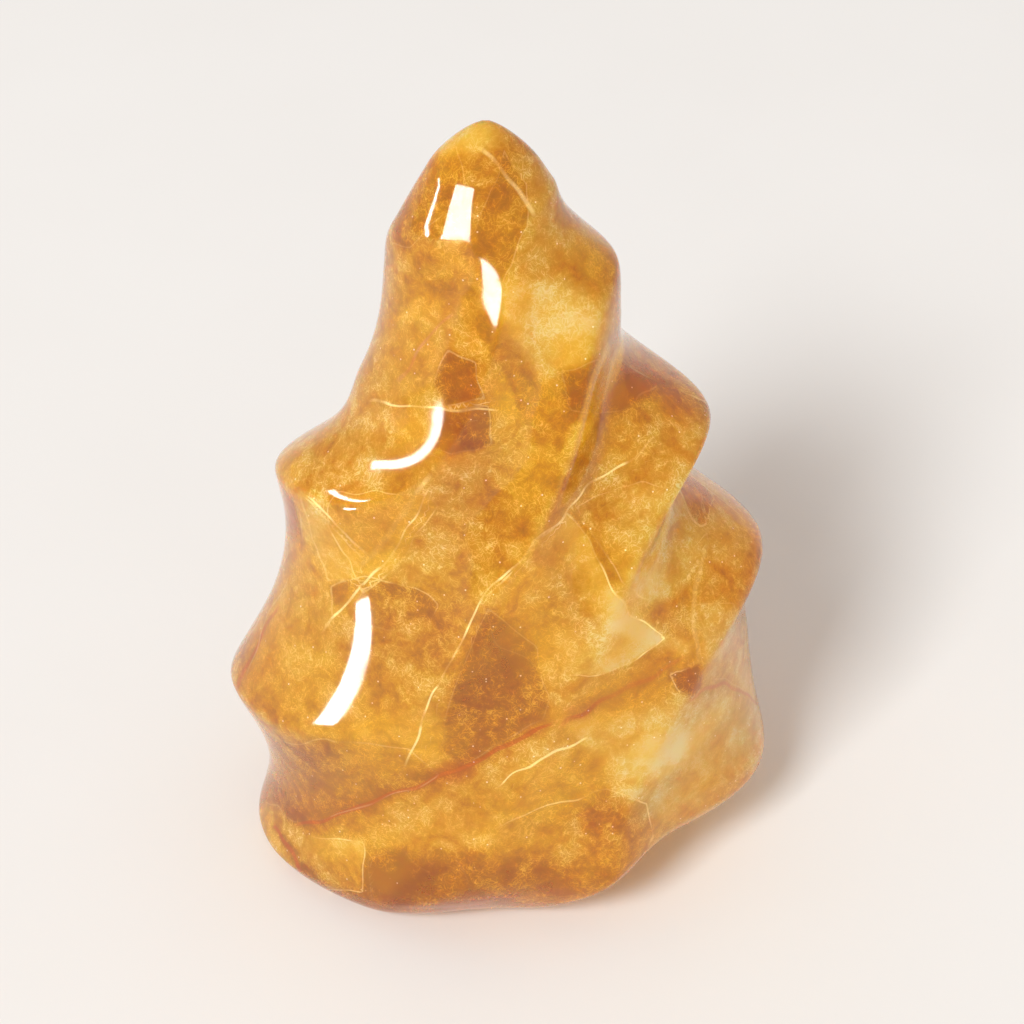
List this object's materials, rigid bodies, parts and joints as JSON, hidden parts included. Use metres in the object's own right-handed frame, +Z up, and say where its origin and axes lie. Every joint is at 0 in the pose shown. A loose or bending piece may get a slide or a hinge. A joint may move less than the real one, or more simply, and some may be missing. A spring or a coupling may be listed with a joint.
{
  "type": "quartz flame carving",
  "caption": "Free-standing flame carved and polished from one piece of amber quartz, its ridges winding up from a flat cut foot to a blunt tip.",
  "frame": {"origin": "middle of the bounding box, on the flat cut foot that the carving stands on", "axes": "+Z up, from the foot to the tip; +X to the right and -Y towards the viewer when the front is seen"},
  "size_m": [0.0706, 0.0533, 0.1103],
  "materials": {
    "amber_quartz": "polished"
  },
  "bodies": {
    "root": {"quartz_flame": "amber_quartz"}
  },
  "joints": []
}
